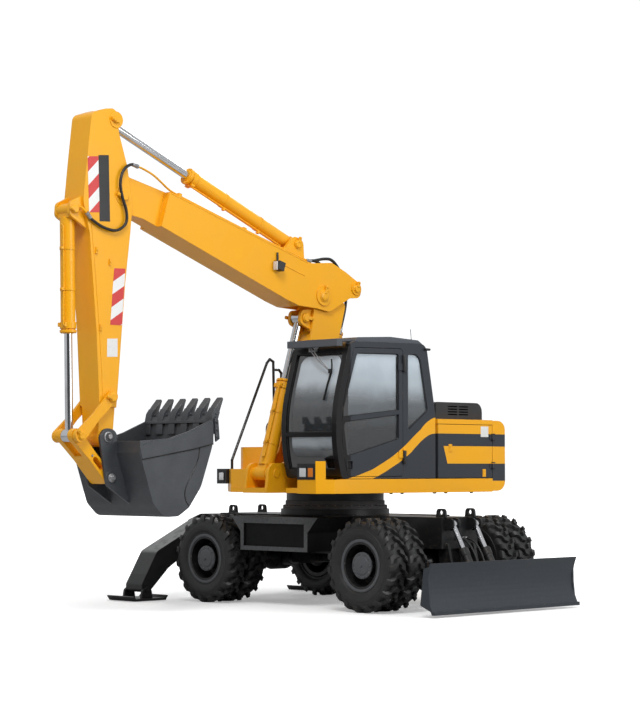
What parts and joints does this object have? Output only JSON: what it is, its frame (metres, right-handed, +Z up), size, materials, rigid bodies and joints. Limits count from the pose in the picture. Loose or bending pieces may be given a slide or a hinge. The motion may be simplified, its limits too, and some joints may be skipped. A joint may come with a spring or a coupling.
{
  "type": "wheeled excavator",
  "caption": "Wheeled excavator with a two-piece boom, dipper and toothed bucket, glazed cab, rounded counterweight, front blade, rear stabilisers and twin lugged tyres; the upper body slews over the chassis.",
  "frame": {"origin": "centre of the bounding box on the ground", "axes": "+X toward the blade end of the chassis, +Y toward the chassis left side, +Z up; the boom reaches along -Y at rest"},
  "size_m": [4.91, 6.3393, 5.5702],
  "materials": {
    "machine_paint": "gloss enamel",
    "black_paint": "satin enamel",
    "cast_grey": "machined and painted",
    "tyre": "moulded rubber",
    "rim_paint": "satin enamel",
    "rod_chrome": "hard chrome",
    "cab_glass": "clear",
    "grey_paint": "satin enamel",
    "dark_plastic": "grained",
    "seat_fabric": "woven"
  },
  "bodies": {
    "chassis": {"chassis_frame": "black_paint", "slew_ring": "cast_grey", "front_axle_beam": "black_paint", "rear_axle_beam": "black_paint", "driveline": "black_paint", "side_boxes": "black_paint"},
    "knuckle_left": {"knuckle_left": "black_paint"},
    "knuckle_right": {"knuckle_right": "black_paint"},
    "front_left_wheel": {"front_left_tyres": "tyre", "front_left_rims": "rim_paint"},
    "front_right_wheel": {"front_right_tyres": "tyre", "front_right_rims": "rim_paint"},
    "rear_left_wheel": {"rear_left_tyres": "tyre", "rear_left_rims": "rim_paint"},
    "rear_right_wheel": {"rear_right_tyres": "tyre", "rear_right_rims": "rim_paint"},
    "blade": {"blade": "grey_paint"},
    "blade_barrels": {"blade_barrels": "black_paint"},
    "blade_rods": {"blade_rods": "rod_chrome"},
    "stabilizer_left": {"stabilizer_left": "black_paint"},
    "stabilizer_left_barrel": {"stabilizer_left_barrel": "black_paint"},
    "stabilizer_left_rod": {"stabilizer_left_rod": "rod_chrome"},
    "stabilizer_right": {"stabilizer_right": "black_paint"},
    "stabilizer_right_barrel": {"stabilizer_right_barrel": "black_paint"},
    "stabilizer_right_rod": {"stabilizer_right_rod": "rod_chrome"},
    "upper": {"upper_frame": "machine_paint", "counterweight": "machine_paint", "engine_housing": "machine_paint", "engine": "cast_grey", "side_hinges": "black_paint", "right_body": "machine_paint", "right_front_box": "machine_paint", "work_lamps": "dark_plastic", "handrail": "black_paint", "cab_frame": "grey_paint", "cab_roof": "dark_plastic", "cab_glass": "cab_glass", "operator_seat": "seat_fabric", "controls": "dark_plastic"},
    "engine_hood": {"engine_hood": "dark_plastic"},
    "left_service_door": {"left_service_door": "grey_paint"},
    "cab_door": {"cab_door": "grey_paint", "door_glass": "cab_glass"},
    "lower_boom": {"lower_boom": "machine_paint"},
    "upper_boom": {"upper_boom": "machine_paint", "boom_lamp": "dark_plastic"},
    "dipper": {"dipper": "machine_paint"},
    "bucket": {"bucket": "grey_paint"},
    "bucket_lever": {"bucket_lever": "machine_paint"},
    "bucket_link": {"bucket_link": "machine_paint"},
    "lift_barrel": {"lift_barrel": "machine_paint"},
    "lift_rod": {"lift_rod": "rod_chrome"},
    "knee_barrel": {"knee_barrel": "machine_paint"},
    "knee_rod": {"knee_rod": "rod_chrome"},
    "dipper_barrel": {"dipper_barrel": "machine_paint"},
    "dipper_rod": {"dipper_rod": "rod_chrome"},
    "bucket_barrel": {"bucket_barrel": "machine_paint"},
    "bucket_rod": {"bucket_rod": "rod_chrome"}
  },
  "joints": [
    {"name": "slew", "type": "hinge", "parent": "chassis", "child": "upper", "pos_m": [-0.3, 1.04, 1.33], "axis": [0, 0, 1], "continuous": true},
    {"name": "steer_left", "type": "hinge", "parent": "chassis", "child": "knuckle_left", "pos_m": [1.31, 1.64, 0.53], "axis": [0, 0, 1], "range_deg": [-30, 30]},
    {"name": "steer_right", "type": "hinge", "parent": "chassis", "child": "knuckle_right", "pos_m": [1.31, 0.44, 0.53], "axis": [0, 0, 1], "range_deg": [-30, 30]},
    {"name": "front_left_spin", "type": "hinge", "parent": "knuckle_left", "child": "front_left_wheel", "pos_m": [1.31, 1.9925, 0.53], "axis": [0, 1, 0], "continuous": true},
    {"name": "front_right_spin", "type": "hinge", "parent": "knuckle_right", "child": "front_right_wheel", "pos_m": [1.31, 0.0875, 0.53], "axis": [0, 1, 0], "continuous": true},
    {"name": "rear_left_spin", "type": "hinge", "parent": "chassis", "child": "rear_left_wheel", "pos_m": [-1.31, 1.9925, 0.53], "axis": [0, 1, 0], "continuous": true},
    {"name": "rear_right_spin", "type": "hinge", "parent": "chassis", "child": "rear_right_wheel", "pos_m": [-1.31, 0.0875, 0.53], "axis": [0, 1, 0], "continuous": true},
    {"name": "boom_lift", "type": "hinge", "parent": "upper", "child": "lower_boom", "pos_m": [-0.3, 0.42, 1.88], "axis": [-1, 0, 0], "range_deg": [-65, 6]},
    {"name": "boom_knee", "type": "hinge", "parent": "lower_boom", "child": "upper_boom", "pos_m": [-0.3, 0.64873, 3.69061], "axis": [1, 0, 0], "range_deg": [-40, 8]},
    {"name": "dipper_swing", "type": "hinge", "parent": "upper_boom", "child": "dipper", "pos_m": [-0.3, -2.44135, 4.62062], "axis": [-1, 0, 0], "range_deg": [-23, 70]},
    {"name": "bucket_curl", "type": "hinge", "parent": "dipper", "child": "bucket", "pos_m": [-0.3, -2.65068, 1.96084], "axis": [1, 0, 0], "range_deg": [-130, 8]},
    {"name": "lift_pivot", "type": "hinge", "parent": "upper", "child": "lift_barrel", "pos_m": [-0.3, -0.14, 1.56], "axis": [-1, 0, 0], "range_deg": [-54.67, 5.06]},
    {"name": "lift_slide", "type": "slide", "parent": "lift_barrel", "child": "lift_rod", "axis": [0, 0.2926, 0.9562], "range_m": [-0.63427, 0.05864]},
    {"name": "knee_pivot", "type": "hinge", "parent": "lower_boom", "child": "knee_barrel", "pos_m": [-0.3, 0.80944, 2.32974], "axis": [-1, 0, 0], "range_deg": [-0.76, 3.78]},
    {"name": "knee_slide", "type": "slide", "parent": "knee_barrel", "child": "knee_rod", "axis": [0, 0.2606, 0.9655], "range_m": [-0.38331, 0.07674]},
    {"name": "dipper_pivot", "type": "hinge", "parent": "upper_boom", "child": "dipper_barrel", "pos_m": [-0.3, 0.25905, 4.29036], "axis": [-1, 0, 0], "range_deg": [-0.56, 1.7]},
    {"name": "dipper_slide", "type": "slide", "parent": "dipper_barrel", "child": "dipper_rod", "axis": [0, -0.9243, 0.3816], "range_m": [-0.96849, 0.31828]},
    {"name": "bucket_pivot", "type": "hinge", "parent": "dipper", "child": "bucket_barrel", "pos_m": [-0.3, -3.09102, 4.42098], "axis": [-1, 0, 0], "range_deg": [-0.26, 4.07]},
    {"name": "bucket_slide", "type": "slide", "parent": "bucket_barrel", "child": "bucket_rod", "axis": [0, 0.0194, -0.9998], "range_m": [-0.81639, 0.05033]},
    {"name": "lever_pivot", "type": "hinge", "parent": "dipper", "child": "bucket_lever", "pos_m": [-0.3, -2.61678, 2.39151], "axis": [-1, 0, 0], "range_deg": [-5.33, 86.4]},
    {"name": "link_pivot", "type": "hinge", "parent": "bucket_lever", "child": "bucket_link", "pos_m": [-0.3, -3.04359, 1.97266], "axis": [-1, 0, 0], "range_deg": [-36.34, 2.25]},
    {"name": "blade_lift", "type": "hinge", "parent": "chassis", "child": "blade", "pos_m": [1.73, 1.04, 0.43], "axis": [0, -1, 0], "range_deg": [-12, 25]},
    {"name": "blade_pivot", "type": "hinge", "parent": "blade", "child": "blade_barrels", "pos_m": [2.14, 1.04, 0.33], "axis": [0, -1, 0], "range_deg": [-15.92, 7.65]},
    {"name": "blade_slide", "type": "slide", "parent": "blade_barrels", "child": "blade_rods", "axis": [-0.4817, 0, 0.8764], "range_m": [-0.14587, 0.07007]},
    {"name": "stabilizer_left", "type": "hinge", "parent": "chassis", "child": "stabilizer_left", "pos_m": [-2.2, 1.52, 0.9], "axis": [1, 0, 0], "range_deg": [0, 55]},
    {"name": "stabilizer_left_pivot", "type": "hinge", "parent": "chassis", "child": "stabilizer_left_barrel", "pos_m": [-2.2, 1.17, 0.6], "axis": [1, 0, 0], "range_deg": [-0.01, 30.34]},
    {"name": "stabilizer_left_slide", "type": "slide", "parent": "stabilizer_left_barrel", "child": "stabilizer_left_rod", "axis": [0, 0.9973, -0.0731], "range_m": [-0.0001, 0.24104]},
    {"name": "stabilizer_right", "type": "hinge", "parent": "chassis", "child": "stabilizer_right", "pos_m": [-2.2, 0.56, 0.9], "axis": [-1, 0, 0], "range_deg": [0, 55]},
    {"name": "stabilizer_right_pivot", "type": "hinge", "parent": "chassis", "child": "stabilizer_right_barrel", "pos_m": [-2.2, 0.91, 0.6], "axis": [-1, 0, 0], "range_deg": [-0.01, 30.34]},
    {"name": "stabilizer_right_slide", "type": "slide", "parent": "stabilizer_right_barrel", "child": "stabilizer_right_rod", "axis": [0, -0.9973, -0.0731], "range_m": [-0.0001, 0.24104]},
    {"name": "cab_door", "type": "hinge", "parent": "upper", "child": "cab_door", "pos_m": [0.948, 0.94, 2.3], "axis": [0, 0, 1], "range_deg": [0, 160]},
    {"name": "left_service_door", "type": "hinge", "parent": "upper", "child": "left_service_door", "pos_m": [0.9485, 2.528, 1.85], "axis": [0, 0, -1], "range_deg": [-100, 0]},
    {"name": "engine_hood", "type": "hinge", "parent": "upper", "child": "engine_hood", "pos_m": [-0.3, 2.515, 2.224], "axis": [-1, 0, 0], "range_deg": [0, 70]}
  ],
  "couplings": [
    {"joint": "steer_right", "follows": "steer_left", "ratio": 1},
    {"joint": "lift_pivot", "follows": "boom_lift", "ratio": 0.841},
    {"joint": "lift_slide", "follows": "boom_lift", "m_per_rad": 0.559},
    {"joint": "knee_pivot", "follows": "boom_knee", "ratio": -0.094311},
    {"joint": "knee_slide", "follows": "boom_knee", "m_per_rad": 0.54891},
    {"joint": "dipper_pivot", "follows": "dipper_swing", "ratio": 0.024143},
    {"joint": "dipper_slide", "follows": "dipper_swing", "m_per_rad": -0.79264},
    {"joint": "bucket_pivot", "follows": "bucket_curl", "ratio": -0.031203},
    {"joint": "bucket_slide", "follows": "bucket_curl", "m_per_rad": 0.35977},
    {"joint": "lever_pivot", "follows": "bucket_curl", "ratio": -0.66451},
    {"joint": "link_pivot", "follows": "bucket_curl", "ratio": 0.27947},
    {"joint": "blade_pivot", "follows": "blade_lift", "ratio": -0.63631},
    {"joint": "blade_slide", "follows": "blade_lift", "m_per_rad": -0.33408},
    {"joint": "stabilizer_left_pivot", "follows": "stabilizer_left", "ratio": 0.55147},
    {"joint": "stabilizer_left_slide", "follows": "stabilizer_left", "m_per_rad": 0.25099},
    {"joint": "stabilizer_right_pivot", "follows": "stabilizer_right", "ratio": 0.55147},
    {"joint": "stabilizer_right_slide", "follows": "stabilizer_right", "m_per_rad": 0.25099}
  ]
}
